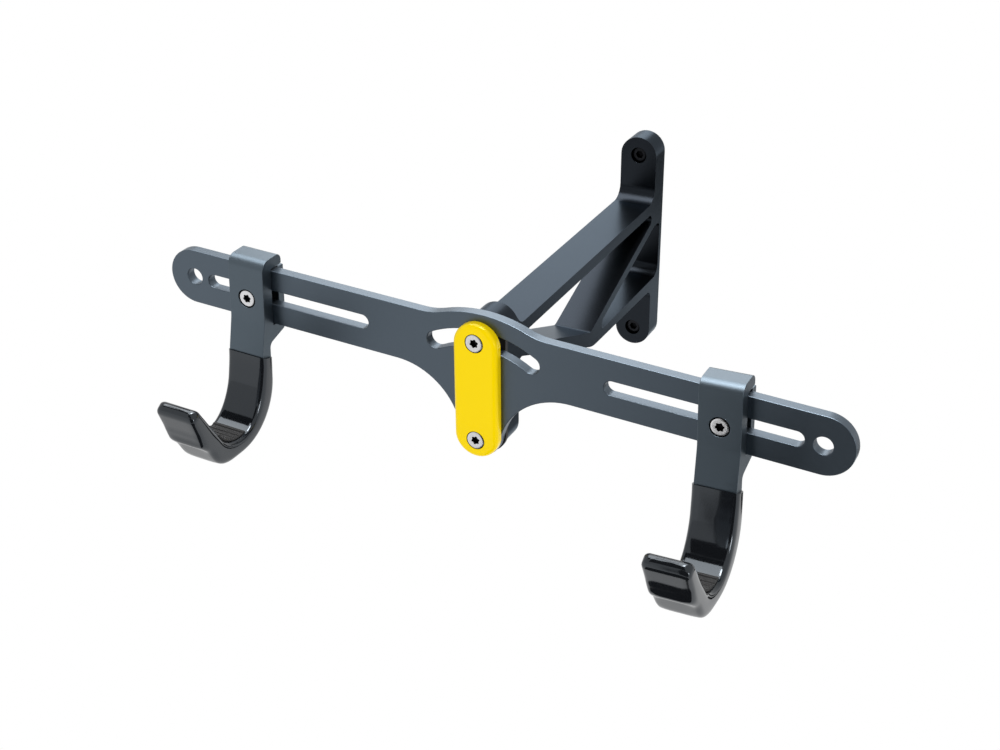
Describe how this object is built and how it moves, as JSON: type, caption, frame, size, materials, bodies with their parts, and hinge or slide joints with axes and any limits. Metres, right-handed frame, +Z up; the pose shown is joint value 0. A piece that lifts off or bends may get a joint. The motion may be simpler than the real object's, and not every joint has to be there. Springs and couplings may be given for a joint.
{
  "type": "wall-mounted bike rack",
  "caption": "Wall bike rack: a braced arm carries a crossbar that tilts about a pivot, with padded hooks that slide along slots in the bar.",
  "frame": {"origin": "midway between the wall screws, on the face of the wall plate that meets the wall", "axes": "+Y into the wall, -Y into the room, +Z up, +X to the right for someone facing the wall"},
  "size_m": [0.4497, 0.3688, 0.1602],
  "materials": {
    "arm_metal": "satin black anodised",
    "bar_metal": "satin grey anodised",
    "hook_metal": "satin grey anodised",
    "yellow_plate": "gloss",
    "black_plastic": "matte",
    "bush_plastic": "matte",
    "stainless": "brushed",
    "black_steel": "satin",
    "vinyl": "gloss",
    "grip_rubber": "matte"
  },
  "bodies": {
    "arm": {"wall_arm": "arm_metal", "wall_screws": "black_steel", "friction_pad": "black_plastic", "pivot_bush": "bush_plastic", "slot_bush": "bush_plastic", "face_plate": "yellow_plate", "clamp_bolt": "stainless", "pivot_bolt": "stainless"},
    "bar": {"crossbar": "bar_metal"},
    "left_hanger": {"left_hook": "hook_metal", "left_clamp_plate": "hook_metal", "left_hook_bolt": "stainless", "left_sleeve": "vinyl", "left_grip_pad": "grip_rubber"},
    "right_hanger": {"right_hook": "hook_metal", "right_clamp_plate": "hook_metal", "right_hook_bolt": "stainless", "right_sleeve": "vinyl", "right_grip_pad": "grip_rubber"}
  },
  "joints": [
    {"name": "bar_tilt", "type": "hinge", "parent": "arm", "child": "bar", "pos_m": [0, -0.2555, -0.031], "axis": [0, 1, 0], "range_deg": [-31.2, 26.6]},
    {"name": "left_hook_slide", "type": "slide", "parent": "bar", "child": "left_hanger", "axis": [0.9992, 0, -0.0401], "range_m": [-0.031, 0.0777]},
    {"name": "right_hook_slide", "type": "slide", "parent": "bar", "child": "right_hanger", "axis": [0.9992, 0, -0.0401], "range_m": [-0.0683, 0.0404]}
  ]
}
